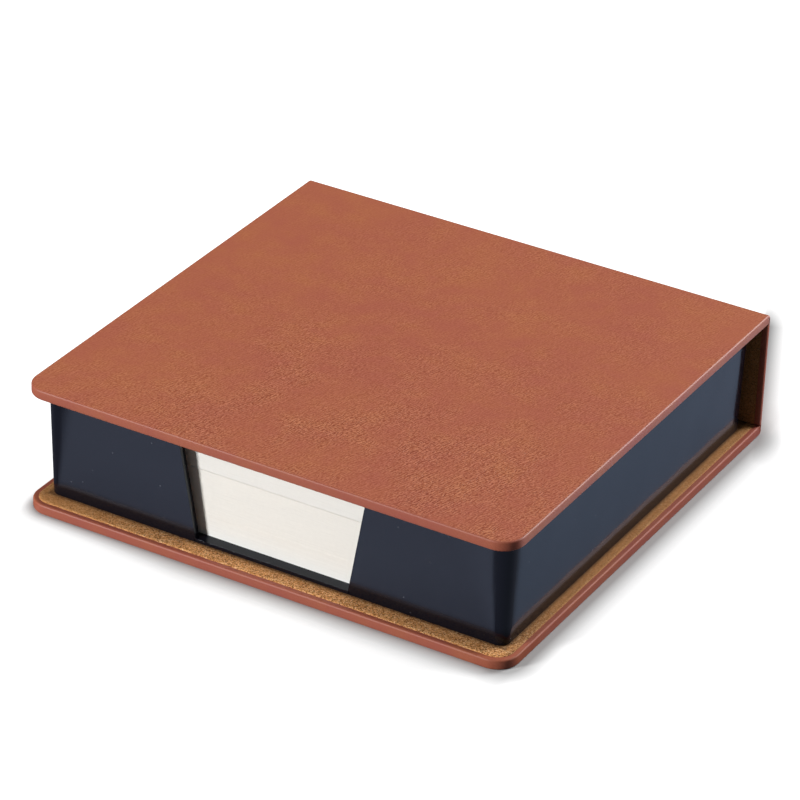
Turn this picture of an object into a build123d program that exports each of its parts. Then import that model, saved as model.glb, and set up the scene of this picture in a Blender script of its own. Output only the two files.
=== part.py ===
"""Memo pad holder: a wrapped three-board case, hinged like a book, round a moulded tray of note sheets.

Frame: origin at the middle of the footprint, on the table; +X right along the front,
+Y towards the spine, +Z up. Units are millimetres. The case is modelled closed.

An inset is measured inwards from a leaf's free edges, and a depth from a board's outer
leather towards the inside of the case.
"""

import os
from math import pi, radians, tan

from build123d import *

# ---------------------------------------------------------------- driving dimensions

# loose note sheets in three shades, one on another
SHEET_SIZE = 100.0
LOWER_SHEETS = 5.4
MIDDLE_SHEETS = 9.8
UPPER_SHEETS = 7.6

# room round the sheets, at the tray's floor
SHEET_FRONT_PLAY = 1.0
SHEET_BACK_PLAY = 0.55
SHEET_SIDE_PLAY = 2.8
SHEET_HEADROOM = 0.8       # top of the sheets to the tray's rim

# the moulded tray
TRAY_WALL = 1.5
TRAY_FLOOR = 1.0
TRAY_DRAFT = 1.4           # degrees, each wall leaning outwards
TRAY_CORNER_RADIUS = 3.0   # outside, at the rim
TRAY_FOOT_ROUND = 0.4      # outside, where the walls meet the floor
TRAY_RIM_ROUND = 0.3

# thumb notch in the tray's front wall, open down to the floor
NOTCH_TOP_WIDTH = 44.4
NOTCH_LEAN = 9.65          # degrees from upright, each side

# the tray's rim to the edge of the case, and to the lining of the spine
TRAY_FRONT_MARGIN = 4.2
TRAY_SIDE_MARGIN = 2.6
TRAY_BACK_PLAY = 1.6

# layers: leatherette wrap, greyboard core, suede-finish paper lining
LEATHER = 0.4
BOARD = 1.5                # of the base and of the lid
SPINE_CARD = 0.5           # the spine is stiffened by thin card alone
LINING = 0.2

# the wrap
FRONT_CORNER_RADIUS = 5.0  # plan radius of the two front corners of a leaf
EDGE_ROUND = 0.5           # outer radius of the leather as it rolls over a board's edge
TURN_IN = 12.0             # width of the leather glued down on the inside
TURN_IN_CORNER = 1.5       # plan radius where two turn-ins meet
LINING_INSET = 1.2         # leather left showing round the lining

# the two folds along the spine
FOLD_RADIUS = 1.2          # outer radius of the closed leather
FOLD_ROOM = 0.3            # room behind a board's hinge edge for the folded lining
SPINE_PLAY = 0.3           # air between the spine's ends and the leaves

# ---------------------------------------------------------------- places that follow

RIM = LEATHER + BOARD + LEATHER        # thickness where the leather turns in
LEAF = RIM + LINING                    # the same, with the lining
SPINE_RIM = LEATHER + SPINE_CARD + LEATHER
SPINE_DEPTH = SPINE_RIM + LINING
BOARD_BACK = LEATHER + FOLD_ROOM       # hinge edge of a leaf's board, from the spine's face
CORE_ROUND = EDGE_ROUND - LEATHER      # rounding of a board's free edges
FOLD_HOLLOW = FOLD_RADIUS - LEATHER    # inner radius of a fold, and of the edge crushed to it

TRAY_FOOT = LEAF
SHEETS_FOOT = TRAY_FOOT + TRAY_FLOOR
SHEETS_HEIGHT = LOWER_SHEETS + MIDDLE_SHEETS + UPPER_SHEETS
TRAY_HEIGHT = TRAY_FLOOR + SHEETS_HEIGHT + SHEET_HEADROOM
TRAY_LEAN = TRAY_HEIGHT * tan(radians(TRAY_DRAFT))
FLOOR_GROWTH = TRAY_FLOOR * tan(radians(TRAY_DRAFT))
WALL_RUN = TRAY_WALL + TRAY_LEAN - FLOOR_GROWTH    # a wall's inner foot to its outer rim

# The case fits round the tray, and the closed lid rests on the tray's rim.
CASE_WIDTH = SHEET_SIZE + 2 * (SHEET_SIDE_PLAY + WALL_RUN + TRAY_SIDE_MARGIN)
IN_FRONT_OF_SHEETS = TRAY_FRONT_MARGIN + WALL_RUN + SHEET_FRONT_PLAY
BEHIND_SHEETS = SHEET_BACK_PLAY + WALL_RUN + TRAY_BACK_PLAY + SPINE_DEPTH
CASE_DEPTH = IN_FRONT_OF_SHEETS + SHEET_SIZE + BEHIND_SHEETS
CASE_HEIGHT = TRAY_HEIGHT + 2 * LEAF
BACK = CASE_DEPTH / 2
FRONT = -CASE_DEPTH / 2
SPINE_FOOT = LEAF + SPINE_PLAY
SPINE_LENGTH = CASE_HEIGHT - 2 * SPINE_FOOT

# A fold turns about the line on which the leather keeps its length when it is laid flat.
PIVOT_INSET = FOLD_RADIUS - pi / 4 * (FOLD_RADIUS - LEATHER / 2)

# The leaves are drawn on their outer faces, with the normal pointing into the case.
BASE_FACE = Plane.XY
LID_FACE = Plane(origin=(0, 0, CASE_HEIGHT), x_dir=(-1, 0, 0), z_dir=(0, 0, -1))

# Sections of the spine are drawn across it, with Y as the depth from its outer face.
SPINE_SECTION = Plane(origin=(0, BACK, SPINE_FOOT), x_dir=(-1, 0, 0), z_dir=(0, 0, 1))
ON_FACE = (Align.CENTER, Align.MIN)


def finish(builder, label):
    """Name a sub-part and write it to its own file."""
    builder.part.label = label
    export_step(builder.part, f"parts/{label}.step")


# ---------------------------------------------------------------- the leaves


def leaf_outline(inset, back_inset, radius):
    """Plan outline of a leaf: square at the spine, round at the two front corners."""
    depth = CASE_DEPTH - inset - back_inset
    with Locations((0, FRONT + inset + depth / 2)):
        Rectangle(CASE_WIDTH - 2 * inset, depth)
    fillet(vertices().group_by(Axis.Y)[0], radius)


def hinge_section(face):
    """Plane across the hinge: X forwards from the spine's face, Y as the leaf's depth."""
    return Plane(
        origin=(0, BACK, face.origin.Z),
        x_dir=(0, -1, 0),
        z_dir=(-face.z_dir.Z, 0, 0),
    )


def roll_free_edges(radius):
    """Round the upper and lower edges of a leaf, all but those at the hinge."""
    level_edges = edges().filter_by(Plane.XY)
    fillet(level_edges - level_edges.group_by(Axis.Y)[-1], radius)


def leaf_board(face):
    """Greyboard core, with its free edges and its outer hinge edge crushed round."""
    with BuildSketch(face.offset(LEATHER)) as outline:
        leaf_outline(LEATHER, BOARD_BACK, FRONT_CORNER_RADIUS - LEATHER)
    extrude(outline.sketch, amount=BOARD)
    roll_free_edges(CORE_ROUND)
    with BuildSketch(hinge_section(face)) as crushed:
        with Locations((BOARD_BACK, LEATHER)):
            Rectangle(FOLD_HOLLOW, FOLD_HOLLOW, align=Align.MIN)
        with Locations((BOARD_BACK + FOLD_HOLLOW, LEATHER + FOLD_HOLLOW)):
            Circle(FOLD_HOLLOW, mode=Mode.SUBTRACT)
    extrude(crushed.sketch, amount=CASE_WIDTH / 2, both=True, mode=Mode.SUBTRACT)


def leaf_cover(face, board):
    """Leather of a leaf: outer skin, rolled edges, and turn-ins along three sides."""
    with BuildSketch(face) as outline:
        leaf_outline(0, BOARD_BACK, FRONT_CORNER_RADIUS)
    extrude(outline.sketch, amount=RIM)
    roll_free_edges(EDGE_ROUND)
    add(board.part, mode=Mode.SUBTRACT)
    # between the turn-ins the board is bare, right up to the hinge
    with BuildSketch(face.offset(LEATHER + BOARD)) as window:
        leaf_outline(TURN_IN, 0, TURN_IN_CORNER)
    extrude(window.sketch, amount=LEATHER, mode=Mode.SUBTRACT)
    # the fold takes the place of the skin at the hinge
    with BuildSketch(hinge_section(face)) as fold_room:
        Rectangle(FOLD_RADIUS, FOLD_RADIUS, align=Align.MIN)
    extrude(fold_room.sketch, amount=CASE_WIDTH / 2, both=True, mode=Mode.SUBTRACT)


def leaf_lining(face):
    """Lining of a leaf: over the turn-ins, and pressed down onto the board between them."""
    with BuildSketch(face.offset(LEATHER + BOARD)) as window:
        leaf_outline(TURN_IN, BOARD_BACK, TURN_IN_CORNER)
    extrude(window.sketch, amount=LEATHER)
    with BuildSketch(face.offset(RIM)) as sheet:
        leaf_outline(LINING_INSET, BOARD_BACK, FRONT_CORNER_RADIUS - LINING_INSET)
    extrude(sheet.sketch, amount=LINING)
    with BuildSketch(face.offset(LEATHER + BOARD + LINING)) as pressed:
        leaf_outline(TURN_IN + LINING, 0, TURN_IN_CORNER - LINING)
    extrude(pressed.sketch, amount=LEATHER, mode=Mode.SUBTRACT)


os.makedirs("parts", exist_ok=True)

with BuildPart() as base_board:
    leaf_board(BASE_FACE)
finish(base_board, "base_board")

with BuildPart() as base_cover:
    leaf_cover(BASE_FACE, base_board)
finish(base_cover, "base_cover")

with BuildPart() as base_lining:
    leaf_lining(BASE_FACE)
finish(base_lining, "base_lining")

with BuildPart() as lid_board:
    leaf_board(LID_FACE)
finish(lid_board, "lid_board")

with BuildPart() as lid_cover:
    leaf_cover(LID_FACE, lid_board)
finish(lid_cover, "lid_cover")

with BuildPart() as lid_lining:
    leaf_lining(LID_FACE)
finish(lid_lining, "lid_lining")


# ---------------------------------------------------------------- the spine


def rolled_section():
    """Section of the wrapped spine, with the leather rolled over its two ends."""
    Rectangle(CASE_WIDTH, SPINE_RIM, align=ON_FACE)
    fillet(vertices(), EDGE_ROUND)


def skin_section():
    """The part of the rolled section that is the outer skin alone."""
    rolled_section()
    with Locations((0, LEATHER)):
        Rectangle(CASE_WIDTH, SPINE_RIM, align=ON_FACE, mode=Mode.SUBTRACT)


with BuildPart() as spine_board:
    with BuildSketch(SPINE_SECTION):
        with Locations((0, LEATHER)):
            Rectangle(CASE_WIDTH - 2 * LEATHER, SPINE_CARD, align=ON_FACE)
        fillet(vertices(), CORE_ROUND)
    extrude(amount=SPINE_LENGTH)
finish(spine_board, "spine_board")

with BuildPart() as spine_cover:
    with BuildSketch(SPINE_SECTION):
        rolled_section()
        with Locations((0, LEATHER + SPINE_CARD)):
            Rectangle(CASE_WIDTH - 2 * TURN_IN, LEATHER, align=ON_FACE, mode=Mode.SUBTRACT)
    extrude(amount=SPINE_LENGTH)
    add(spine_board.part, mode=Mode.SUBTRACT)
    # the skin runs past the spine's ends, behind both leaves, to the folds
    with BuildSketch(SPINE_SECTION.offset(FOLD_RADIUS - SPINE_FOOT)):
        skin_section()
    extrude(amount=CASE_HEIGHT - 2 * FOLD_RADIUS)
finish(spine_cover, "spine_cover")

with BuildPart() as spine_lining:
    with BuildSketch(SPINE_SECTION):
        with Locations((0, SPINE_RIM)):
            Rectangle(CASE_WIDTH - 2 * LINING_INSET, LINING, align=ON_FACE)
        with Locations((0, LEATHER + SPINE_CARD)):
            Rectangle(CASE_WIDTH - 2 * TURN_IN, LEATHER, align=ON_FACE)
        with Locations((0, LEATHER + SPINE_CARD + LINING)):
            Rectangle(
                CASE_WIDTH - 2 * (TURN_IN + LINING), LEATHER, align=ON_FACE, mode=Mode.SUBTRACT
            )
    extrude(amount=SPINE_LENGTH)
finish(spine_lining, "spine_lining")


# ---------------------------------------------------------------- the folds


def leather_fold(face):
    """Quarter turn of the leather, from the spine's skin to the skin of a leaf."""
    inwards = face.z_dir.Z
    level = face.origin.Z + inwards * FOLD_RADIUS
    with BuildSketch(Plane(origin=(0, BACK, level), x_dir=(-1, 0, 0), z_dir=(0, 0, 1))) as skin:
        skin_section()
    turn_axis = Axis((0, BACK - FOLD_RADIUS, level), (-inwards, 0, 0))
    revolve(skin.sketch, axis=turn_axis, revolution_arc=90)


with BuildPart() as lower_fold:
    leather_fold(BASE_FACE)
finish(lower_fold, "lower_fold")

with BuildPart() as upper_fold:
    leather_fold(LID_FACE)
finish(upper_fold, "upper_fold")


# ---------------------------------------------------------------- the tray


def tray_outline(margin, radius):
    """Outline of the tray at its foot, inset by a margin all round."""
    inset = TRAY_LEAN + margin
    front = FRONT + TRAY_FRONT_MARGIN + inset
    back = BACK - SPINE_DEPTH - TRAY_BACK_PLAY - inset
    with Locations((0, (front + back) / 2)):
        Rectangle(CASE_WIDTH - 2 * (TRAY_SIDE_MARGIN + inset), back - front)
    fillet(vertices(), radius)


# the walls keep one thickness, so the hollow widens upwards at the same draft
FOOT_RADIUS = TRAY_CORNER_RADIUS - TRAY_LEAN

with BuildPart() as tray_hollow:
    with BuildSketch(Plane.XY.offset(SHEETS_FOOT)):
        tray_outline(TRAY_WALL - FLOOR_GROWTH, FOOT_RADIUS + FLOOR_GROWTH - TRAY_WALL)
    extrude(amount=TRAY_HEIGHT - TRAY_FLOOR, taper=-TRAY_DRAFT)

with BuildPart() as tray:
    with BuildSketch(Plane.XY.offset(TRAY_FOOT)):
        tray_outline(0, FOOT_RADIUS)
    extrude(amount=TRAY_HEIGHT, taper=-TRAY_DRAFT)
    fillet(edges().group_by(Axis.Z)[0], TRAY_FOOT_ROUND)
    add(tray_hollow.part, mode=Mode.SUBTRACT)
    # the notch, from the front edge of the case to the sheets
    notch_height = TRAY_HEIGHT - TRAY_FLOOR
    notch_foot_half = NOTCH_TOP_WIDTH / 2 - notch_height * tan(radians(NOTCH_LEAN))
    with BuildSketch(Plane(origin=(0, FRONT, SHEETS_FOOT), x_dir=(1, 0, 0), z_dir=(0, -1, 0))):
        with BuildLine():
            Polyline(
                (-notch_foot_half, 0),
                (notch_foot_half, 0),
                (NOTCH_TOP_WIDTH / 2, notch_height),
                (-NOTCH_TOP_WIDTH / 2, notch_height),
                close=True,
            )
        make_face()
    extrude(amount=-IN_FRONT_OF_SHEETS, mode=Mode.SUBTRACT)
    fillet(edges().group_by(Axis.Z)[-1], TRAY_RIM_ROUND)
finish(tray, "tray")


# ---------------------------------------------------------------- the sheets

SHEETS_FRONT = FRONT + IN_FRONT_OF_SHEETS


def sheet_block(level, height):
    """A block of loose square sheets, its foot at a level."""
    with BuildSketch(Plane.XY.offset(level)) as sheet:
        with Locations((0, SHEETS_FRONT)):
            Rectangle(SHEET_SIZE, SHEET_SIZE, align=ON_FACE)
    extrude(sheet.sketch, amount=height)


with BuildPart() as lower_sheets:
    sheet_block(SHEETS_FOOT, LOWER_SHEETS)
finish(lower_sheets, "lower_sheets")

with BuildPart() as middle_sheets:
    sheet_block(SHEETS_FOOT + LOWER_SHEETS, MIDDLE_SHEETS)
finish(middle_sheets, "middle_sheets")

with BuildPart() as upper_sheets:
    sheet_block(SHEETS_FOOT + LOWER_SHEETS + MIDDLE_SHEETS, UPPER_SHEETS)
finish(upper_sheets, "upper_sheets")

print(f"case: {CASE_WIDTH:.3f} x {CASE_DEPTH:.3f} x {CASE_HEIGHT:.3f}")
print(f"hinge lines: {PIVOT_INSET:.4f} in from the back, the table and the top")
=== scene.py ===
"""Memo pad holder: a leatherette case hinged like a book, round a moulded tray of note sheets."""
from math import cos, pi, radians, sin, tan

import bmesh
import bpy
import numpy as np
from mathutils import Matrix, Vector


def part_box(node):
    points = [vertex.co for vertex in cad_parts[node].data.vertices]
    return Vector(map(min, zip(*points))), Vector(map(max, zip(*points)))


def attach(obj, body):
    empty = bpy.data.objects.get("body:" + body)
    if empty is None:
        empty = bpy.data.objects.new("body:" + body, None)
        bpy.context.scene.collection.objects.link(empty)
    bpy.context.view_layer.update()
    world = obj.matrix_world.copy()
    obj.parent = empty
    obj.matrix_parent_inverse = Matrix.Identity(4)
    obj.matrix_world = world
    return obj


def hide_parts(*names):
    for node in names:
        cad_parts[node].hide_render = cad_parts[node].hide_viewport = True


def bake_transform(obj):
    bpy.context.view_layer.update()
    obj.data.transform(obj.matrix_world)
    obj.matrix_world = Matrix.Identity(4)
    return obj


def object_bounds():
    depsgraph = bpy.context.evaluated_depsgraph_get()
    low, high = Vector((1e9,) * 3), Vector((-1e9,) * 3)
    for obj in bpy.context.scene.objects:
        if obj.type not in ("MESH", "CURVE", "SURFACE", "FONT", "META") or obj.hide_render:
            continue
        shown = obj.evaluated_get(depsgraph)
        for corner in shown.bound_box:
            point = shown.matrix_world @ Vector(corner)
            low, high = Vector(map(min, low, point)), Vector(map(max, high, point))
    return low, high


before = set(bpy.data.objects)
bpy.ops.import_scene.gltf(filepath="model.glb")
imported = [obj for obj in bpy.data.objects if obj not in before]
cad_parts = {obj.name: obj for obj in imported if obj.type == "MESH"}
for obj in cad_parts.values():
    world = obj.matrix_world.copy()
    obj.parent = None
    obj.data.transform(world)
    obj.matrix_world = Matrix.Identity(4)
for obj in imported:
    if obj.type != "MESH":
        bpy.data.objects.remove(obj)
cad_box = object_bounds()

# ------------------------------------------------------------------ the wrapped leaves
# The base and the lid are greyboard wrapped in red-brown leatherette. The leather rolls
# over three edges and is glued down 12 mm inside; along the spine it runs on into a fold.

MM = 0.001                 # sizes are in millimetres until they enter a mesh or a node
low, high = (np.array(corner) / MM for corner in cad_box)
HALF_WIDTH = high[0]
FRONT, BACK = low[1], high[1]
CASE_HEIGHT = high[2]
LEATHER = 0.4
LEAF = 2.3                 # thickness of a wrapped board, without its lining
CORNER = 5.0               # plan radius of the two front corners
ROLL = 0.42                # radius of the leather as it rolls over an edge
TURN_IN = 12.0
TURN_IN_CORNER = 1.5
FOLD_RADIUS = 1.2
FOLD_SKIN = 0.84           # the leather and its turn-in at the ends of a fold
FACE_INSET = 0.8           # from an edge to the flat outer face
CORNER_POINTS = 9
LONG_POINTS = 81


def plan(inset, radius, rows_y):
    """Plan grid of a leaf, inset from its free edges.

    Straight rows and columns; in the two front corner squares each point is drawn in
    along its ray by the larger of its two sides over their hypotenuse, which makes
    quarter discs.
    """
    half = HALF_WIDTH - inset
    front = FRONT + inset
    x = np.concatenate([
        np.linspace(-half, radius - half, CORNER_POINTS)[:-1],
        np.linspace(radius - half, half - radius, LONG_POINTS),
        np.linspace(half - radius, half, CORNER_POINTS)[1:],
    ])
    y = np.concatenate([np.linspace(front, front + radius, CORNER_POINTS)[:-1], rows_y])
    y[CORNER_POINTS - 1] = front + radius
    x, y = np.meshgrid(x, y, indexing="ij")
    beside = np.maximum(np.abs(x) - (half - radius), 0)
    ahead = np.maximum(front + radius - y, 0)
    reach = np.hypot(beside, ahead)
    drawn = np.maximum(beside, ahead) / np.where(reach > 0, reach, 1)
    drawn = np.where(reach > 0, drawn, 1)
    x = np.clip(x, radius - half, half - radius) + np.sign(x) * beside * drawn
    y = np.maximum(y, front + radius) - ahead * drawn
    return x, y


def free_edge(inset, radius, rows_y):
    """The border of that grid along its three free sides, from hinge to hinge."""
    x, y = plan(inset, radius, rows_y)
    along_x = np.concatenate([x[0, ::-1], x[1:-1, 0], x[-1, :]])
    along_y = np.concatenate([y[0, ::-1], y[1:-1, 0], y[-1, :]])
    return along_x, along_y


def piece(name, grids, caps=(), flip=False):
    """One mesh from grids of points: neighbours in a grid are joined by quads, a cap is a
    ring of points closed by one face, and shared borders are merged."""
    points, faces, start = [], [], 0
    for grid in grids:
        rows, columns = grid.shape[:2]
        index = start + np.arange(rows * columns).reshape(rows, columns)
        quads = np.stack(
            [index[:-1, :-1], index[1:, :-1], index[1:, 1:], index[:-1, 1:]], axis=-1
        )
        faces += quads.reshape(-1, 4).tolist()
        points.append(grid.reshape(-1, 3))
        start += rows * columns
    for ring in caps:
        faces.append(list(range(start, start + len(ring))))
        points.append(np.asarray(ring))
        start += len(ring)
    mesh = bpy.data.meshes.new(name)
    mesh.from_pydata((np.concatenate(points) * MM).tolist(), [], faces)
    work = bmesh.new()
    work.from_mesh(mesh)
    bmesh.ops.remove_doubles(work, verts=work.verts, dist=0.002 * MM)
    if flip:
        bmesh.ops.reverse_faces(work, faces=work.faces)
    work.to_mesh(mesh)
    work.free()
    obj = bpy.data.objects.new(name, mesh)
    bpy.context.scene.collection.objects.link(obj)
    return obj


def leaf_piece(name, grids, is_lid):
    """One mesh from the grids of a leaf that lies on its outer face; the lid is mirrored."""
    if is_lid:
        for grid in grids:
            grid[..., 2] = CASE_HEIGHT - grid[..., 2]
    return piece(name, grids, flip=is_lid)


def finish_mesh(obj, thickness=0.0, angle=40.0):
    """Give a sheet its thickness on the inner side, keep that in the mesh, and shade it
    smooth but for edges sharper than an angle in degrees."""
    if thickness:
        wall = obj.modifiers.new("thickness", "SOLIDIFY")
        wall.thickness = thickness * MM
        wall.offset = -1.0
        wall.use_even_offset = False
        depsgraph = bpy.context.evaluated_depsgraph_get()
        thick = bpy.data.meshes.new_from_object(obj.evaluated_get(depsgraph))
        obj.modifiers.clear()
        obj.data = thick
        thick.name = obj.name
    obj.data.shade_smooth()
    obj.data.set_sharp_from_angle(angle=radians(angle))
    return obj


def quarter(steps):
    """Angles of a quarter turn."""
    return np.linspace(0, np.pi / 2, steps)


def roll_rows(thickness):
    """Insets and depths of a wrapped edge: a quarter circle, a straight side, and a
    second quarter circle, from the outer face to the inner one."""
    turn = quarter(6)
    inset = np.concatenate([ROLL * (1 - np.sin(turn)), ROLL * (1 - np.cos(turn))])
    depth = np.concatenate(
        [ROLL * (1 - np.cos(turn)), thickness - ROLL * (1 - np.sin(turn))]
    )
    return inset, depth


def leaf_leather(name, is_lid):
    """Leather of a leaf: a flat plan grid for the outer face, and along its free sides a
    strip that follows the rolled edge and then runs inwards as the turn-in."""
    hinge = BACK - FOLD_RADIUS
    rows_y = np.linspace(FRONT + TURN_IN + 2, hinge, LONG_POINTS)
    x, y = plan(FACE_INSET, CORNER - FACE_INSET, rows_y)
    face = np.stack([x, y, np.zeros_like(x)], axis=-1)
    roll_inset, roll_depth = roll_rows(LEAF)
    # the rows of the turn-in, by their insets
    inner = np.array([0.7, 1.2, 2.4, 4, 6, 8, 10, 11.4, TURN_IN])
    inset = np.concatenate([[FACE_INSET], roll_inset, inner])
    depth = np.concatenate([[0], roll_depth, np.full(len(inner), LEAF)])
    share = np.clip((inset - ROLL) / (TURN_IN - ROLL), 0, 1)
    turned = np.arange(len(inset)) > len(roll_inset)
    radius = np.where(
        turned, (CORNER - ROLL) * (1 - share) + TURN_IN_CORNER * share, CORNER - inset
    )
    # behind the fold's foot the wrap draws in, to lie inside the fold
    drawn_in = FOLD_SKIN + 0.02
    rows_y = np.concatenate([rows_y, [hinge + 0.05, BACK - drawn_in]])
    strip = []
    for k in range(len(inset)):
        edge_x, edge_y = free_edge(inset[k], radius[k], rows_y)
        edge_depth = np.where(
            edge_y > hinge + 0.01, drawn_in + depth[k] * (1 - drawn_in / LEAF), depth[k]
        )
        strip.append(np.stack([edge_x, edge_y, edge_depth], axis=-1))
    return leaf_piece(name, [face[::-1], np.stack(strip, axis=1)], is_lid)


def nodes_of(name):
    """A new material, its node tree and its shader."""
    material = bpy.data.materials.new(name)
    material.use_nodes = True
    tree = material.node_tree
    return material, tree, tree.nodes["Principled BSDF"]


def add(tree, kind, inputs=None, **settings):
    """A new node, with its settings and its unlinked inputs."""
    node = tree.nodes.new(kind)
    for key, value in settings.items():
        setattr(node, key, value)
    for key, value in (inputs or {}).items():
        node.inputs[key].default_value = value
    return node


def ramp(tree, source, stops):
    """Straight lines between (place, grey or colour) stops, read at a value."""
    node = tree.nodes.new("ShaderNodeValToRGB")
    for k, (place, colour) in enumerate(stops):
        if k > 1:
            node.color_ramp.elements.new(place)
        spot = node.color_ramp.elements[k]
        spot.position = place
        spot.color = (colour,) * 3 + (1,) if isinstance(colour, float) else (*colour, 1)
    tree.links.new(source, node.inputs["Fac"])
    return node.outputs["Color"]


def object_place(tree, stretch=(1, 1, 1)):
    """Object coordinates in millimetres, times a stretch along each axis."""
    source = tree.nodes.new("ShaderNodeTexCoord")
    mapping = add(tree, "ShaderNodeMapping", vector_type="POINT")
    mapping.inputs["Scale"].default_value = tuple(factor / MM for factor in stretch)
    tree.links.new(source.outputs["Object"], mapping.inputs["Vector"])
    return mapping.outputs["Vector"]


def split(tree, vector):
    """The X, Y and Z of a vector."""
    node = tree.nodes.new("ShaderNodeSeparateXYZ")
    tree.links.new(vector, node.inputs["Vector"])
    return node.outputs["X"], node.outputs["Y"], node.outputs["Z"]


def noise(tree, vector, scale, detail=2.0, roughness=0.5):
    """A noise texture's value."""
    node = add(
        tree, "ShaderNodeTexNoise",
        {"Scale": scale, "Detail": detail, "Roughness": roughness},
    )
    tree.links.new(vector, node.inputs["Vector"])
    return node.outputs["Fac"]


def math(tree, operation, first, second=None, third=None, clamp=False):
    """One arithmetic step on values or numbers, kept between 0 and 1 if clamped."""
    node = add(tree, "ShaderNodeMath", operation=operation, use_clamp=clamp)
    for socket, value in zip(node.inputs, (first, second, third)):
        if isinstance(value, (int, float)):
            socket.default_value = value
        elif value is not None:
            tree.links.new(value, socket)
    return node.outputs["Value"]


def plus(tree, first, second):
    """The sum of two values."""
    return math(tree, "ADD", first, second)


def less(tree, first, second):
    """The first value less the second."""
    return math(tree, "SUBTRACT", first, second)


def times(tree, *values):
    """The product of some values."""
    result = values[0]
    for value in values[1:]:
        result = math(tree, "MULTIPLY", result, value)
    return result


def line(tree, value, slope, start, clamp=False):
    """A value times a slope, plus a start."""
    return math(tree, "MULTIPLY_ADD", value, slope, start, clamp)


def mix_colour(tree, factor, first, second, blend="MIX"):
    """Two colours mixed by a value."""
    node = add(tree, "ShaderNodeMix", data_type="RGBA", blend_type=blend)
    for place, value in ((0, factor), (6, first), (7, second)):
        socket = node.inputs[place]
        if isinstance(value, tuple):
            socket.default_value = (*value, 1)
        elif isinstance(value, (int, float)):
            socket.default_value = value
        else:
            tree.links.new(value, socket)
    return node.outputs[2]


def tinted(tree, colour, tint):
    """A colour times another."""
    return mix_colour(tree, 1.0, colour, tint, "MULTIPLY")


def bump(tree, height, distance, strength=1.0, under=None):
    """A bump of a depth in millimetres, over another bump if there is one."""
    node = add(tree, "ShaderNodeBump", {"Strength": strength, "Distance": distance * MM})
    tree.links.new(height, node.inputs["Height"])
    if under is not None:
        tree.links.new(under, node.inputs["Normal"])
    return node.outputs["Normal"]


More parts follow.
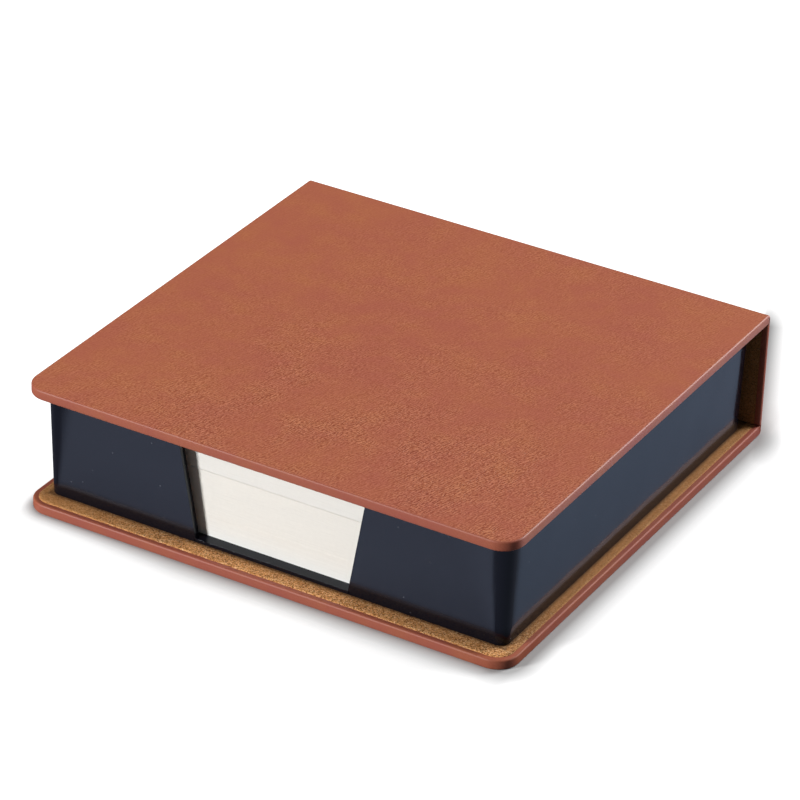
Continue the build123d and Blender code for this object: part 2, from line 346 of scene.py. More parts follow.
def leatherette():
    """Red-brown leatherette. The dye drifts between orange and red. The leather is grained
    with a web of short wrinkles half a millimetre apart, running mostly from the front to
    the back: a sine wave across them, its phase bent by one noise and its lines broken up
    by another. It is pressed in deepest along the front and in patches, fades towards the
    left, and is smoothed flat where the leather rolls over an edge. Its valleys are darker
    and its ridges lighter and whiter, with a painted highlight on the ridges. The lid's
    right rim has a painted sheen, paler and less red, and the base's right rim has less
    gloss."""
    material, tree, shader = nodes_of("leatherette")
    place = object_place(tree)
    x, y, z = split(tree, place)
    drift = noise(tree, place, 0.045, 3.0)
    cloud = noise(tree, place, 0.17, 3.0, 0.55)
    dye = ramp(tree, plus(tree, times(tree, drift, 0.5), times(tree, cloud, 0.5)), [
        (0.36, (0.412, 0.112, 0.063)), (0.50, (0.426, 0.123, 0.061)),
        (0.64, (0.440, 0.136, 0.059)),
    ])

    gap, length, turn = 0.58, 1.1, -0.30     # of the wrinkles; the turn is in radians
    bend, depth, break_up = 3.2, 0.36, 2.8
    source = tree.nodes.new("ShaderNodeTexCoord")
    web = add(tree, "ShaderNodeMapping", vector_type="TEXTURE")
    web.inputs["Rotation"].default_value = (0, 0, turn)
    web.inputs["Scale"].default_value = (gap * MM, length * MM, gap * MM)
    tree.links.new(source.outputs["Object"], web.inputs["Vector"])
    web = web.outputs["Vector"]
    across, _, upward = split(tree, web)
    bent = times(tree, noise(tree, web, 0.5), bend)
    phase = times(tree, plus(tree, plus(tree, across, upward), bent), 2 * pi)
    wave = times(tree, math(tree, "SINE", phase), depth)
    broken = less(tree, noise(tree, web, 1.8, 2.0, 0.6), 0.5)
    wrinkle = line(tree, broken, break_up, plus(tree, wave, 0.5), clamp=True)

    nearness = line(tree, y, -0.016, 0.22, clamp=True)
    front = ramp(tree, nearness, [(0.0, 0.46), (0.35, 0.70), (0.80, 1.0)])
    patch = ramp(tree, noise(tree, place, 0.085), [(0.36, 0.45), (0.60, 1.0)])
    right = ramp(tree, line(tree, x, 0.01, 0.57), [(0.05, 0.42), (0.40, 1.0)])
    skin = 0.03
    middle = math(tree, "ABSOLUTE", less(tree, z, CASE_HEIGHT / 2))
    level = math(tree, "GREATER_THAN", middle, CASE_HEIGHT / 2 - skin)
    upright = math(tree, "GREATER_THAN", y, BACK - skin)
    face = math(tree, "MAXIMUM", level, upright)
    pressed = times(tree, front, patch, right, math(tree, "MAXIMUM", face, 0.15))
    # valleys darker and ridges lighter and whiter: the wrinkles' colour, with a painted highlight
    # on the ridges
    grain_and_painted_glint = ramp(tree, wrinkle, [
        (0.0, (0.64, 0.48, 0.44)), (0.5, (1.0, 1.0, 1.0)), (1.0, (1.32, 1.60, 1.84)),
    ])
    grain_and_painted_glint = mix_colour(tree, pressed, (1.0, 1.0, 1.0), grain_and_painted_glint)

    # painted sheen: the lid's right rim is painted paler and greyer, and the base's right rim
    # gets less gloss
    rim_start, rim_fade = HALF_WIDTH - 0.5, 0.4
    edge = line(tree, x, 1 / rim_fade, -rim_start / rim_fade, clamp=True)
    lid_start, lid_fade = CASE_HEIGHT - LEAF - LEATHER, 0.5
    upper = line(tree, z, 1 / lid_fade, -lid_start / lid_fade, clamp=True)
    painted_sheen_rim = times(tree, edge, upper)
    # the rims' tint, with the painted sheen on the lid's right rim
    rim = mix_colour(tree, painted_sheen_rim, (0.86, 0.80, 0.92), (1.12, 1.42, 2.10))
    rim_tint_and_painted_sheen = mix_colour(tree, face, rim, (1.0, 1.0, 1.0))
    colour = tinted(tree, tinted(tree, dye, rim_tint_and_painted_sheen), grain_and_painted_glint)
    tree.links.new(colour, shader.inputs["Base Color"])
    shader.inputs["Roughness"].default_value = 0.50
    sheen = line(tree, less(tree, edge, painted_sheen_rim), -0.22, 0.42)
    tree.links.new(sheen, shader.inputs["Specular IOR Level"])

    shape = bump(tree, times(tree, wrinkle, pressed), 0.06, 0.9)
    fine = noise(tree, place, 2.8, 2.0, 0.6)
    pores = times(tree, fine, math(tree, "MAXIMUM", face, 0.2))
    shape = bump(tree, pores, 0.015, 0.7, shape)
    tree.links.new(shape, shader.inputs["Normal"])
    return material


LEATHERETTE = leatherette()


def dress(obj, material):
    """Give an object its one material."""
    obj.data.materials.clear()
    obj.data.materials.append(material)


base_leather = finish_mesh(leaf_leather("base_leather", False), LEATHER)
dress(base_leather, LEATHERETTE)
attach(base_leather, "base")
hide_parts("base_cover", "base_board")

lid_leather = finish_mesh(leaf_leather("lid_leather", True), LEATHER)
dress(lid_leather, LEATHERETTE)
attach(lid_leather, "lid")
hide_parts("lid_cover", "lid_board")

# ------------------------------------------------------------------ the spine and the folds
# The spine is a strip of thin card in the same leather. Past the card's two ends the leather
# runs on, doubled along its edges, and folds a quarter turn into the base and into the lid.

SPINE_FOOT = 2.8           # lower end of the spine's card
SPINE = 1.3                # thickness of the wrapped card, without its lining
ACROSS_POINTS = 61


def wrapped_section(thickness):
    """Section of wrapped leather: turn-in, rolled end, outer face, and the same mirrored.

    Returns the place across and the depth from the outer face.
    """
    inset, depth = roll_rows(thickness)
    # the turn-in, by its insets
    inner = np.array([TURN_IN, 11.2, 8, 5, 2.5, 0.8])
    inset = np.concatenate([inner, inset[::-1]])
    depth = np.concatenate([np.full(len(inner), thickness), depth[::-1]])
    x = HALF_WIDTH - inset
    flat = np.linspace(FACE_INSET - HALF_WIDTH, HALF_WIDTH - FACE_INSET, ACROSS_POINTS)
    return (
        np.concatenate([-x, flat, x[::-1]]),
        np.concatenate([depth, np.zeros(ACROSS_POINTS), depth[::-1]]),
    )


def eased(value):
    """Smooth step from 0 to 1: three times the square less twice the cube."""
    value = np.clip(value, 0, 1)
    return value * value * (3 - 2 * value)


def spine_leather_grid():
    """The section carried up the spine: thin up to a level at both ends, then growing over
    a short height to its full thickness over the card."""
    thin, growth = 2.3, 0.6
    end = SPINE_FOOT + 0.5
    foot = np.concatenate([np.linspace(FOLD_RADIUS, thin, 4), np.linspace(2.4, end, 8)])
    levels = np.concatenate([
        foot, np.linspace(end + 0.8, CASE_HEIGHT - end - 0.8, 24), CASE_HEIGHT - foot[::-1],
    ])
    rows = []
    for level in levels:
        depth_in = min(level, CASE_HEIGHT - level)
        full = float(eased((depth_in - thin) / growth))
        x, depth = wrapped_section(FOLD_SKIN + (SPINE - FOLD_SKIN) * full)
        rows.append(np.stack([x, BACK - depth, np.full_like(x, level)], axis=-1))
    return np.stack(rows, axis=1)


def fold_grid(x, depth, steps, is_upper):
    """A section, given by its places across and its depths from the outer face, carried
    round a quarter circle from a leaf to the spine."""
    turn = quarter(steps)[None, :]
    reach = (FOLD_RADIUS - depth)[:, None]
    y = BACK - FOLD_RADIUS + reach * np.sin(turn)
    z = FOLD_RADIUS - reach * np.cos(turn)
    if is_upper:
        z = CASE_HEIGHT - z
    return np.stack([np.broadcast_to(x[:, None], y.shape), y, z], axis=-1)


def fold_leather(name, is_upper):
    """The thin section of leather carried round a fold."""
    grid = fold_grid(*wrapped_section(FOLD_SKIN), 13, is_upper)
    return finish_mesh(piece(name, [grid], flip=not is_upper), LEATHER)


spine_leather = finish_mesh(piece("spine_leather", [spine_leather_grid()], flip=True), LEATHER)
dress(spine_leather, LEATHERETTE)
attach(spine_leather, "spine")
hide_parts("spine_cover", "spine_board")

lower_fold = fold_leather("lower_fold_leather", False)
dress(lower_fold, LEATHERETTE)
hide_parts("lower_fold")
upper_fold = fold_leather("upper_fold_leather", True)
dress(upper_fold, LEATHERETTE)
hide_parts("upper_fold")

# ------------------------------------------------------------------ the lining
# Tan suede-finish paper covers the inside in one strip. It is glued over the turn-ins,
# pressed down onto the boards between them, and pushed into the two folds.

LINING_INSET = 1.2
LINING = 0.2
PAPER = 0.12               # drawn thickness of the lining on the leaves
SPINE_PAPER = 0.05
FOLD_PAPER = 0.04
BOARD_END = BACK - FOLD_SKIN - 0.1
FOLD_LINING = FOLD_SKIN + 0.06     # depth of the lining's face in a fold


def step_down(inset):
    """Depth that the lining loses where it drops off the edge of a turn-in: the leather's
    thickness times a smooth step that starts a little before the edge."""
    before, width = 0.2, 0.7
    return LEATHER * eased((inset - TURN_IN + before) / width)


def over_the_end(y, depth):
    """Past the board's end the sheet turns down through a quarter circle and runs
    straight, its length kept."""
    radius = 0.08
    past = np.maximum(y - BOARD_END, 0)
    angle = np.minimum(past / radius, np.pi / 2)
    straight = np.maximum(past - radius * np.pi / 2, 0)
    return (
        np.minimum(y, BOARD_END) + radius * np.sin(angle),
        depth - radius * (1 - np.cos(angle)) - straight,
    )


def leaf_lining(name, is_lid):
    """Lining of a leaf: a flat grid inside the turn-ins and a strip of rings over them,
    whose cut edge is pressed down onto the leather. The rings' corner radius shrinks
    evenly from the outline's to the turn-in's."""
    wrap = BOARD_END + np.array([0.03, 0.06, 0.09, 0.126, 0.5, 1.1])
    rows_y = np.concatenate([np.linspace(FRONT + 14, BOARD_END, LONG_POINTS), wrap])
    glued, outer_radius = 11, CORNER - LINING_INSET
    inset = np.array([
        LINING_INSET, 1.28, 1.45, 1.7, 2.1, 3, 5, 7, 9, glued,
        11.6, 11.8, 11.95, 12.1, 12.25, 12.4, 12.6,
    ])
    depth = np.full(len(inset), LEAF + LINING) - step_down(inset)
    rubbed_down = np.array([0.02, 0.09, 0.155, 0.19])
    depth[:len(rubbed_down)] = LEAF + rubbed_down
    share = (inset - LINING_INSET) / (glued - LINING_INSET)
    radius = np.where(
        inset < glued,
        outer_radius + (TURN_IN_CORNER - outer_radius) * share,
        np.maximum(TURN_IN_CORNER - np.maximum(inset - TURN_IN, 0), 0.6),
    )
    rings = []
    for k in range(len(inset)):
        x, y = free_edge(inset[k], radius[k], rows_y)
        y, z = over_the_end(y, np.full_like(y, depth[k]))
        rings.append(np.stack([x, y, z], axis=-1))
    x, y = plan(inset[-1], radius[-1], rows_y)
    y, z = over_the_end(y, np.full_like(y, depth[-1]))
    return leaf_piece(name, [np.stack([x, y, z], axis=-1), np.stack(rings, axis=1)], is_lid)


def lining_across():
    """Places across a spine lining, closer together at the steps beside the turn-ins, and
    how far the lining is pressed in there."""
    edge = HALF_WIDTH - LINING_INSET
    step = HALF_WIDTH - TURN_IN
    half = np.concatenate([
        np.linspace(0, step - 0.8, 30), step + np.linspace(-0.6, 0.3, 8),
        np.linspace(step + 1, edge, 10),
    ])
    x = np.concatenate([-half[:0:-1], half])
    return x, step_down(HALF_WIDTH - np.abs(x))


def spine_lining_grid():
    """A path up the spine's inner side: up the leather's inside, forwards under the
    card's end, round it and up the inner face, and the same mirrored at the top."""
    x, pressed = lining_across()
    # share of the way from the leather to the inner face, and level
    half = np.array([
        [0.0, FOLD_RADIUS], [0.0, 1.8], [0.0, 2.4], [0.03, 2.55], [0.1, 2.62],
        [0.25, 2.65], [0.8, 2.65], [0.94, 2.67], [0.98, 2.74], [1.0, 2.84], [1.0, 3.4],
    ])
    share = np.concatenate([half[:, 0], np.ones(24), half[::-1, 0]])
    level = np.concatenate([
        half[:, 1], np.linspace(4, CASE_HEIGHT - 4, 24), CASE_HEIGHT - half[::-1, 1],
    ])
    thin = FOLD_LINING - pressed
    full = SPINE + LINING - pressed
    depth = thin[:, None] + (full - thin)[:, None] * share[None, :]
    y = BACK - depth
    z = np.broadcast_to(level[None, :], y.shape)
    return np.stack([np.broadcast_to(x[:, None], y.shape), y, z], axis=-1)


def groove_lining(name, is_upper):
    """The lining carried round a fold, nearer to the leather between the turn-ins."""
    x, pressed = lining_across()
    grid = fold_grid(x, FOLD_LINING - pressed, 11, is_upper)
    return finish_mesh(piece(name, [grid], flip=is_upper), FOLD_PAPER)


def suede_paper():
    """Tan suede-finish paper: a flock whose every tuft has its own shade, a few of them
    almost black or almost straw, over a slow drift of the dye. The nap is brushed flat
    towards the base's back and left, and evenly elsewhere. On the base a painted shade
    darkens it by the distance from the tray's foot and again along the outer edge, and
    a painted shade darkens it in the folds."""
    material, tree, shader = nodes_of("suede_paper")
    place = object_place(tree)
    x, y, z = split(tree, place)
    tuft = add(tree, "ShaderNodeTexVoronoi", {"Scale": 4.6, "Randomness": 1.0})
    tree.links.new(place, tuft.inputs["Vector"])
    own = tree.nodes.new("ShaderNodeSeparateColor")
    tree.links.new(tuft.outputs["Color"], own.inputs["Color"])
    fibre = noise(tree, place, 2.4, 3.0, 0.6)
    tone = plus(tree, times(tree, own.outputs["Red"], 0.55), times(tree, fibre, 0.45))
    colour = ramp(tree, tone, [
        (0.26, (0.200, 0.070, 0.020)), (0.40, (0.600, 0.265, 0.085)),
        (0.62, (0.760, 0.370, 0.135)), (0.80, (0.980, 0.640, 0.340)),
    ])

    on_base = math(tree, "LESS_THAN", z, LEAF + 2 * LINING)
    brushed = 0.55
    backward = ramp(tree, line(tree, y, 0.01, 0.5), [(0.0, 0.0), (0.22, 0.66)])
    leftward = ramp(tree, times(tree, x, -0.01), [(0.25, 0.0), (0.50, 0.60)])
    worn = less(tree, math(tree, "MAXIMUM", backward, leftward), brushed)
    brushed = line(tree, worn, on_base, brushed)
    colour = mix_colour(tree, brushed, colour, (0.600, 0.268, 0.088))

    # painted shade: darker near the tray's foot, and again along the base's outer edge
    foot_side, foot_front = HALF_WIDTH - 3.2, FRONT + 4.8
    beside = less(tree, math(tree, "ABSOLUTE", x), foot_side)
    ahead = less(tree, foot_front, y)
    clear = math(tree, "MULTIPLY", math(tree, "MAXIMUM", beside, ahead), 0.5, clamp=True)
    shaded = ramp(tree, clear, [(0.0, 0.34), (0.18, 0.62), (0.42, 0.86), (1.0, 1.0)])
    outer = ramp(tree, times(tree, beside, 0.5), [(0.15, 1.0), (0.85, 0.72)])
    shaded = tinted(tree, colour, tinted(tree, shaded, outer))
    colour = mix_colour(tree, on_base, colour, shaded)

    # painted shade in the folds
    painted_fold_shade = ramp(tree, less(tree, y, BACK - 3.0), [(0.0, 1.0), (0.8, 0.62)])
    drift = ramp(tree, noise(tree, place, 0.12), [(0.3, 0.92), (0.7, 1.06)])
    colour = tinted(tree, tinted(tree, colour, painted_fold_shade), drift)
    tree.links.new(colour, shader.inputs["Base Color"])
    shader.inputs["Roughness"].default_value = 0.8
    shader.inputs["Specular IOR Level"].default_value = 0.25
    tree.links.new(bump(tree, tone, 0.06), shader.inputs["Normal"])
    return material


SUEDE_PAPER = suede_paper()

base_lining = finish_mesh(leaf_lining("base_lining_paper", False), PAPER)
dress(base_lining, SUEDE_PAPER)
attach(base_lining, "base")
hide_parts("base_lining")

lid_lining = finish_mesh(leaf_lining("lid_lining_paper", True), PAPER)
dress(lid_lining, SUEDE_PAPER)
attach(lid_lining, "lid")
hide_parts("lid_lining")

spine_lining = finish_mesh(piece("spine_lining_paper", [spine_lining_grid()]), SPINE_PAPER)
dress(spine_lining, SUEDE_PAPER)
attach(spine_lining, "spine")
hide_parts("spine_lining")

lower_groove = groove_lining("lower_fold_lining", False)
dress(lower_groove, SUEDE_PAPER)
upper_groove = groove_lining("upper_fold_lining", True)
dress(upper_groove, SUEDE_PAPER)

# the strips of the two folds, their places baked into their meshes
for strip in (lower_fold, lower_groove):
    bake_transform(strip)
for strip in (upper_fold, upper_groove):
    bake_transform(strip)

# ------------------------------------------------------------------ the tray
# The tray is moulded in near-black gloss plastic, its walls leaning out 1.4 degrees. It is
# glued to the lining, and a notch for the thumb is cut in its front wall down to the floor.

tray_low, tray_high = (np.array(corner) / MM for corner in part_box("tray"))
TRAY_HALF = HALF_WIDTH - 2.6       # this and the next two at the rim
TRAY_FRONT = FRONT + 4.2
TRAY_BACK = BACK - 3.1
TRAY_FOOT, TRAY_RIM = tray_low[2], tray_high[2]
TRAY_CORNER = 3.0
TRAY_WALL = 1.5
TRAY_FLOOR = TRAY_FOOT + 1.0
DRAFT = tan(radians(1.4))
NOTCH_TOP_HALF = 22.2
NOTCH_SLOPE = tan(radians(9.65))
FOOT_ROUND = 0.4
RIM_ROUND = 0.3
CUT_ROUND = 0.03           # the notch's two edges and the sill's lip
FLOOR_POINTS = 41


def wall_path(level, offset, notch_shift):
    """Once round the tray at a level, from the notch's right side to its left side.

    Straight runs joined by quarter circles; everything moves in with the draft below
    the rim and with the offset from the outer face. A point close beside the notch keeps
    the shading of its rounded edge off the wall.
    """
    smallest_radius, beside_notch = 0.25, 0.07
    inward = (TRAY_RIM - level) * DRAFT + offset
    half = TRAY_HALF - inward
    front, back = TRAY_FRONT + inward, TRAY_BACK - inward
    radius = max(TRAY_CORNER - inward, smallest_radius)
    right, rear = half - radius, back - radius
    notch = NOTCH_TOP_HALF - (TRAY_RIM - level) * NOTCH_SLOPE
    turn = quarter(13)[1:-1]
    front_run = np.concatenate([
        notch + notch_shift, [notch + beside_notch], np.linspace(notch + 0.6, right, 24),
    ])
    side_run = np.linspace(front + radius, rear, 41)
    rear_run = np.linspace(right, 0, 21)
    x = np.concatenate([
        front_run, right + radius * np.sin(turn), np.full_like(side_run, half),
        right + radius * np.cos(turn), rear_run,
    ])
    y = np.concatenate([
        np.full_like(front_run, front), front + radius - radius * np.cos(turn), side_run,
        rear + radius * np.sin(turn), np.full_like(rear_run, back),
    ])
    return np.concatenate([x, -x[-2::-1]]), np.concatenate([y, y[-2::-1]])


def tray_walls():
    """The wall's closed section carried along that path. At the notch the section draws
    in by one less the cosine while the path moves by one less the sine: rounded edges."""
    turn = quarter(4)
    level = np.concatenate([
        TRAY_FOOT + FOOT_ROUND * (1 - np.cos(turn)),
        np.linspace(TRAY_FOOT + 1, TRAY_RIM - 1, 24),
        TRAY_RIM - RIM_ROUND + RIM_ROUND * np.sin(turn),
        TRAY_RIM - RIM_ROUND + RIM_ROUND * np.cos(turn),
        np.linspace(TRAY_RIM - 1, TRAY_FLOOR, 16), [TRAY_FOOT],
    ])
    offset = np.concatenate([
        FOOT_ROUND * (1 - np.sin(turn)), np.zeros(24), RIM_ROUND * (1 - np.cos(turn)),
        TRAY_WALL - RIM_ROUND * (1 - np.sin(turn)), np.full(17, TRAY_WALL),
    ])
    round_off = quarter(5)[::-1]
    shift = CUT_ROUND * (1 - np.sin(round_off))
    shrink = CUT_ROUND * (1 - np.cos(round_off))
    rows = []
    for k in range(len(level)):
        x, y = wall_path(level[k], offset[k], shift)
        z = np.full_like(x, level[k])
        for j, amount in enumerate(shrink):
            inner_level = min(level[k], TRAY_RIM - amount)
            inner_offset = min(max(offset[k], amount), TRAY_WALL - amount)
            nx, ny = wall_path(inner_level, inner_offset, shift)
            for place in (j, -1 - j):
                x[place], y[place], z[place] = nx[place], ny[place], inner_level
        rows.append(np.stack([x, y, z], axis=-1))
    rows.append(rows[0])
    grid = np.stack(rows, axis=1)
    return grid, [grid[0, :-1], grid[-1, :-1][::-1]]


def tray_floor():
    """The floor, its edge inside the walls, and the sill that closes the notch: a strip
    with the wall's rounded foot and a lip, carried straight across."""
    within_wall, sill_depth, sill_overlap = 1.2, 1.8, 0.4
    inward = (TRAY_RIM - TRAY_FLOOR) * DRAFT + within_wall
    half, front, back = TRAY_HALF - inward, TRAY_FRONT + inward, TRAY_BACK - inward
    x, y = np.meshgrid(
        np.linspace(-half, half, FLOOR_POINTS), np.linspace(front, back, FLOOR_POINTS),
        indexing="ij",
    )
    top = np.stack([x, y, np.full_like(x, TRAY_FLOOR - 0.01)], axis=-1)
    under = top[::-1].copy()
    under[..., 2] = TRAY_FOOT
    border = np.concatenate([top[:, 0], top[-1, 1:], top[-2::-1, -1], top[0, -2::-1]])
    below = border.copy()
    below[:, 2] = TRAY_FOOT
    side = np.stack([below, border], axis=1)
    turn = quarter(5)
    level = np.concatenate([
        TRAY_FOOT + FOOT_ROUND * (1 - np.cos(turn)), [TRAY_FOOT + 0.45, TRAY_FLOOR - 0.08],
        TRAY_FLOOR - CUT_ROUND + CUT_ROUND * np.sin(turn),
        [TRAY_FLOOR, TRAY_FLOOR, TRAY_FOOT, TRAY_FOOT],
    ])
    offset = np.concatenate([
        FOOT_ROUND * (1 - np.sin(turn)), [0, 0], CUT_ROUND * (1 - np.cos(turn)),
        [0.08, sill_depth, sill_depth, FOOT_ROUND],
    ])
    section_y = TRAY_FRONT + (TRAY_RIM - level) * DRAFT + offset
    reach = NOTCH_TOP_HALF - (TRAY_RIM - TRAY_FLOOR) * NOTCH_SLOPE + sill_overlap
    across = np.linspace(-reach, reach, FLOOR_POINTS)[:, None]
    sill = np.stack([
        np.broadcast_to(values, (FLOOR_POINTS, len(level)))
        for values in (across, section_y, level)
    ], axis=-1)
    return [top, under, side, sill], [sill[0, :-1], sill[-1, :-1][::-1]]


def gloss_plastic():
    """Near-black moulded plastic: a smooth gloss with a faint blue cast, slow waves left
    by the mould, and a few specks of dust. The gloss is dull at the foot and grows with
    the height, and it is duller on the notch's cut faces."""
    material, tree, shader = nodes_of("gloss_plastic")
    place = object_place(tree)
    x, y, z = split(tree, place)
    speck = add(tree, "ShaderNodeTexVoronoi", {"Scale": 0.28, "Randomness": 1.0})
    tree.links.new(place, speck.inputs["Vector"])
    dust = ramp(tree, speck.outputs["Distance"], [(0.02, 1.0), (0.05, 0.0)])
    colour = mix_colour(
        tree, times(tree, dust, 0.40), (0.0045, 0.0045, 0.0085), (0.30, 0.32, 0.36)
    )
    tree.links.new(colour, shader.inputs["Base Color"])
    smear = noise(tree, place, 0.10, 3.0, 0.6)
    tree.links.new(line(tree, smear, 0.10, 0.07), shader.inputs["Roughness"])

    risen = times(tree, less(tree, z, TRAY_FOOT), 0.2)
    dulled = ramp(tree, risen, [(0.0, 0.10), (0.45, 0.20), (0.85, 0.5)])
    drop = less(tree, TRAY_RIM, z)
    across = line(tree, drop, NOTCH_SLOPE, math(tree, "ABSOLUTE", x))
    cut = times(
        tree,
        math(tree, "LESS_THAN", across, NOTCH_TOP_HALF + 0.02),
        math(tree, "LESS_THAN", y, TRAY_FRONT + 2 * TRAY_WALL),
        math(tree, "GREATER_THAN", z, TRAY_FLOOR + 0.1),
    )
    sheen = times(tree, dulled, line(tree, cut, -0.55, 1.0))
    tree.links.new(sheen, shader.inputs["Specular IOR Level"])
    shader.inputs["IOR"].default_value = 1.64
    shader.inputs["Specular Tint"].default_value = (0.80, 0.90, 1.0, 1)
    wave = noise(tree, place, 0.05, 1.0)
    tree.links.new(bump(tree, wave, 0.25), shader.inputs["Normal"])
    return material


wall_grid, wall_caps = tray_walls()
floor_grids, sill_caps = tray_floor()
tray = finish_mesh(
    piece("moulded_tray", [wall_grid, *floor_grids], [*wall_caps, *sill_caps]), angle=32
)
dress(tray, gloss_plastic())
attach(tray, "base")
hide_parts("tray")

# ------------------------------------------------------------------ the note sheets
# Three blocks of loose 100 mm sheets of plain paper lie in the tray: whitish, cream and
# white. They were cut together, so their edges stand within about 0.1 mm of one another.

SHEET = 0.1
PLAY = 0.06                # the most that a sheet lies off its pile's middle
DRIFT, JITTER = 0.006, 0.012
pile = np.random.default_rng(7)


def sheet_pile(name, node):
    """A pile: for each sheet two square loops of points, at its foot and its head, moved
    together by that sheet's own small shift, which is a slow drift plus a jitter. The top
    cream sheet is a little shorter."""
    corner_low, corner_high = (np.array(corner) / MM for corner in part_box(node))
    count = round((corner_high[2] - corner_low[2]) / SHEET)
    side = np.linspace(0, 1, 26)[:-1]
    zero, one = 0 * side, 1 + 0 * side
    loop = np.concatenate([
        np.stack([side, zero], -1), np.stack([one, side], -1),
        np.stack([1 - side, one], -1), np.stack([zero, 1 - side], -1), [[0, 0]],
    ])
    ground = corner_low[:2] + PLAY + loop * (corner_high - corner_low - 2 * PLAY)[:2]
    drift = np.cumsum(pile.normal(0, DRIFT, (count, 2)), axis=0)
    jitter = pile.normal(0, JITTER, (count, 2))
    shift = np.clip(drift - drift.mean(0) + jitter, -PLAY, PLAY)
    shift = np.repeat(shift, 2, axis=0)
    levels = np.linspace(corner_low[2], corner_high[2], count + 1)
    levels = np.repeat(levels, 2)[1:-1]
    grid = np.empty((len(loop), len(levels), 3))
    grid[..., :2] = ground[:, None, :] + shift[None, :, :]
    if node == "middle_sheets":
        grid[:, -2:, :2] *= 0.995
    grid[..., 2] = levels[None, :]
    return piece(name, [grid], [grid[:-1, 0][::-1], grid[:-1, -1]])


def note_paper(name, stops):
    """Uncoated paper. The tint follows the height. On the cut edges, where the normal lies
    level, each sheet is a touch lighter or darker than the next, and a painted shade
    draws fine dark gaps between some of them."""
    material, tree, shader = nodes_of(name)
    place = object_place(tree)
    z = split(tree, place)[2]
    rise = times(tree, z, 1 / CASE_HEIGHT)
    tint = ramp(tree, rise, [(level / CASE_HEIGHT, colour) for level, colour in stops])
    layers = noise(tree, object_place(tree, (0.02, 0.02, 1.0)), 6.0, 3.0, 0.7)
    # random tone of each sheet, with a painted shade for fine gaps between sheets
    sheet_tone_and_gap_shade = ramp(tree, layers, [(0.25, 0.92), (0.42, 1.0), (0.8, 1.02)])
    facing = tree.nodes.new("ShaderNodeTexCoord")
    flat = math(tree, "ABSOLUTE", split(tree, facing.outputs["Normal"])[2])
    sheet_tone_and_gap_shade = mix_colour(tree, flat, sheet_tone_and_gap_shade, (1.0, 1.0, 1.0))
    fibre = noise(tree, place, 1.2, 3.0, 0.6)
    mottled = ramp(tree, fibre, [(0.3, 0.985), (0.7, 1.01)])
    tint = tinted(tree, tinted(tree, tint, sheet_tone_and_gap_shade), mottled)
    tree.links.new(tint, shader.inputs["Base Color"])
    shader.inputs["Roughness"].default_value = 0.8
    shader.inputs["Specular IOR Level"].default_value = 0.3
    ridge = times(tree, layers, less(tree, 1.0, flat))
    tree.links.new(bump(tree, ridge, 0.02), shader.inputs["Normal"])
    return material


WHITE, CREAM = (0.855, 0.84, 0.80), (0.88, 0.853, 0.797)
for name, node, stops, slot in (
    # the lower pile is whitish, and lighter still at its foot: a painted light against the shade
    # there
    ("lower_note_sheets", "lower_sheets",
     [(3.5, (0.93, 0.93, 0.90)), (4.2, (0.90, 0.89, 0.85)), (8.0, CREAM)], "white_sheets"),
    ("middle_note_sheets", "middle_sheets", [(9.0, CREAM), (18.0, CREAM)], "cream_sheets"),
    ("upper_note_sheets", "upper_sheets", [(19.0, WHITE), (26.0, WHITE)], "white_sheets"),
):
    sheets = finish_mesh(sheet_pile(name, node), angle=30)
    dress(sheets, note_paper(name + "_paper", stops))
    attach(sheets, "base")
    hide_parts(node)

# ------------------------------------------------------------------ table, light and camera
# A white table under soft studio light: a low key lamp from the front left, whose edge
# shows beside the notch, a large soft lamp overhead, and an edge lamp behind on the right.

bpy.ops.mesh.primitive_plane_add(size=6.0, location=(0, 0, 0))
table = bpy.context.object
table.name = "table"


def card(tree, reach, edge, soft):
    """A painted dark patch, seen in gloss: 0 short of an edge, 1 once past it by a soft width."""
    return math(tree, "MULTIPLY", less(tree, reach, edge * MM), 1 / (soft * MM), clamp=True)


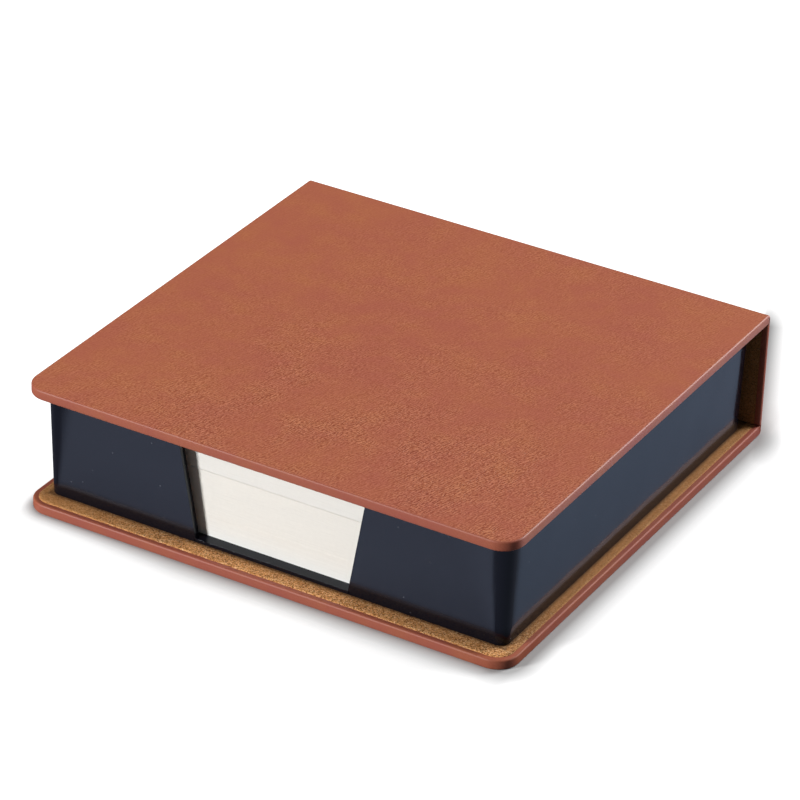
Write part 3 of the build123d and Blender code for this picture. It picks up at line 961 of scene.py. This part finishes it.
def white_table():
    """White table. It lights the object like a dark grey one and looks white to the camera
    and bright in gloss. Round the case a painted shade darkens it by the distance from the
    rounded outline, which the fade stretches by the place across, and a narrow band of
    painted shadow runs away behind the right back corner. In gloss alone it shows a
    painted reflection: bluish, darker on the right, with painted dark patches off the
    tray's two front corners."""
    material, tree, shader = nodes_of("white_table")
    path = tree.nodes.new("ShaderNodeLightPath")
    place = tree.nodes.new("ShaderNodeTexCoord")
    x, y, _ = split(tree, place.outputs["Object"])

    beside = less(tree, math(tree, "ABSOLUTE", x), (HALF_WIDTH - CORNER) * MM)
    beside = math(tree, "MAXIMUM", beside, 0.0)
    behind = less(tree, math(tree, "ABSOLUTE", y), (BACK - CORNER) * MM)
    behind = math(tree, "MAXIMUM", behind, 0.0)
    squares = plus(tree, times(tree, beside, beside), times(tree, behind, behind))
    across = line(tree, x, 0.4 / (HALF_WIDTH * MM), 0.5)
    wider = ramp(tree, across, [(0.865, 0.0), (0.9, 1.2)])
    gap = less(tree, math(tree, "SQRT", squares), line(tree, wider, MM, CORNER * MM))
    steep = ramp(tree, across, [
        (0.08, 1.0), (0.10, 0.55), (0.38, 0.25), (0.90, 0.25), (0.91, 0.3125),
    ])
    full_fade = 10.0
    # painted shade: the emission that whitens the table for the camera fades towards the case
    glow_with_painted_shade = ramp(tree, times(tree, gap, steep, 1 / (full_fade * MM)), [
        (0.0, 0.04), (0.025, 0.19), (0.05, 0.31), (0.105, 0.56), (0.16, 0.72),
        (0.35, 0.92), (1.0, 1.0),
    ])

    # a painted shadow on the table: a narrow band behind the case's right back corner
    band_x, band_y = -0.403, 0.915
    over = less(tree, x, HALF_WIDTH * MM)
    past = less(tree, y, BACK * MM)
    aside = less(tree, times(tree, over, band_y), times(tree, past, band_x))
    away = plus(tree, times(tree, past, band_y), times(tree, over, band_x))
    shade = ramp(tree, line(tree, aside, 95.0, 0.2), [
        (0.0, 0.0), (0.1, 0.83), (0.2, 0.83), (0.66, 0.0),
    ])
    fade = ramp(tree, times(tree, away, 10.0), [(0.0, 1.0), (0.49, 1.0), (0.62, 0.0)])
    shade = times(tree, shade, fade, line(tree, past, 80.0, 1.0, clamp=True))
    # the painted band of shadow also takes from that emission
    glow_with_painted_shade = times(tree, glow_with_painted_shade, less(tree, 1.0, shade), path.outputs["Is Camera Ray"])
    lamp = add(tree, "ShaderNodeEmission", {"Color": (1, 1, 1, 1)})
    tree.links.new(glow_with_painted_shade, lamp.inputs["Strength"])

    # painted reflection, seen in gloss alone: dark patches off the tray's two front corners
    ray_x, ray_y = 0.87, 0.49
    to_right = less(tree, times(tree, x, ray_x), times(tree, y, ray_y))
    to_left = less(tree, times(tree, y, ray_y), times(tree, x, ray_x))
    painted_dark_patches = math(
        tree, "MAXIMUM",
        card(tree, to_right, TRAY_HALF * ray_x - TRAY_FRONT * ray_y - 2.7, 1.2),
        card(tree, to_left, TRAY_HALF * ray_x + TRAY_FRONT * ray_y - 1.6, 2.0),
    )
    # painted reflection: in gloss the table looks bluish, and darker on the right
    on_right = math(tree, "GREATER_THAN", x, HALF_WIDTH * MM)
    lit = mix_colour(tree, on_right, (0.75, 0.79, 1.0), (0.352, 0.438, 0.61))
    seen = mix_colour(tree, painted_dark_patches, lit, (0.12, 0.13, 0.17))
    colour = mix_colour(tree, path.outputs["Is Glossy Ray"], (0.12, 0.12, 0.12), seen)
    # painted shadow: in the band the grey that the camera sees darkens further away
    distant = times(tree, shade, away, 20.0)
    grey_with_painted_shadow = mix_colour(tree, distant, (0.45, 0.45, 0.45), (0.15, 0.15, 0.15))
    colour = mix_colour(tree, path.outputs["Is Camera Ray"], colour, grey_with_painted_shadow)
    tree.links.new(colour, shader.inputs["Base Color"])
    shader.inputs["Roughness"].default_value = 0.9
    shader.inputs["Specular IOR Level"].default_value = 0.1
    both = tree.nodes.new("ShaderNodeAddShader")
    tree.links.new(shader.outputs["BSDF"], both.inputs[0])
    tree.links.new(lamp.outputs["Emission"], both.inputs[1])
    tree.links.new(both.outputs["Shader"], tree.nodes["Material Output"].inputs["Surface"])
    return material


table.data.materials.append(white_table())

world = bpy.data.worlds.new("studio")
bpy.context.scene.world = world
world.use_nodes = True
world.node_tree.nodes["Background"].inputs["Color"].default_value = (0.95, 0.97, 1.0, 1)
world.node_tree.nodes["Background"].inputs["Strength"].default_value = 0.07


def soft_lamp(name, place, aim, size, power):
    """A square area lamp turned towards a point, in metres and watts."""
    lamp = bpy.data.lights.new(name, "AREA")
    lamp.shape = "SQUARE"
    lamp.size = size
    lamp.energy = power
    obj = bpy.data.objects.new(name, lamp)
    bpy.context.scene.collection.objects.link(obj)
    obj.location = place
    obj.rotation_euler = (Vector(aim) - Vector(place)).to_track_quat("-Z", "Y").to_euler()


soft_lamp("key_lamp", place=(-0.60, -0.92, 0.40), aim=(0, 0, 0.01), size=0.20, power=13.8)
soft_lamp("overhead_lamp", place=(0.0, 0.15, 1.2), aim=(0, 0, 0), size=0.8, power=2.8)
soft_lamp("edge_lamp", place=(0.60, 0.90, 0.52), aim=(0, 0, 0.02), size=0.50, power=15.5)

# the camera, placed in metres, looks against the back axis and is rolled about it a little
AZIMUTH, ELEVATION, ROLL_ANGLE = radians(29.504), radians(29.659), radians(2.003)
CAMERA_PLACE = (0.37183, -0.65816, 0.44767)
LENS, SENSOR, NEAREST = 186.36, 36.0, 0.05
back_axis = Vector((
    sin(AZIMUTH) * cos(ELEVATION), -cos(AZIMUTH) * cos(ELEVATION), sin(ELEVATION),
))
level_axis = Vector((cos(AZIMUTH), sin(AZIMUTH), 0))
up_axis = back_axis.cross(level_axis)
right_axis = cos(ROLL_ANGLE) * level_axis + sin(ROLL_ANGLE) * up_axis
up_axis = cos(ROLL_ANGLE) * up_axis - sin(ROLL_ANGLE) * level_axis
turned = Matrix((right_axis, up_axis, back_axis)).transposed().to_4x4()
camera = bpy.data.objects.new("camera", bpy.data.cameras.new("camera"))
bpy.context.scene.collection.objects.link(camera)
camera.matrix_world = Matrix.Translation(CAMERA_PLACE) @ turned
camera.data.lens = LENS
camera.data.sensor_width = SENSOR
camera.data.clip_start = NEAREST
bpy.context.scene.camera = camera
bpy.context.scene.view_settings.view_transform = "Standard"
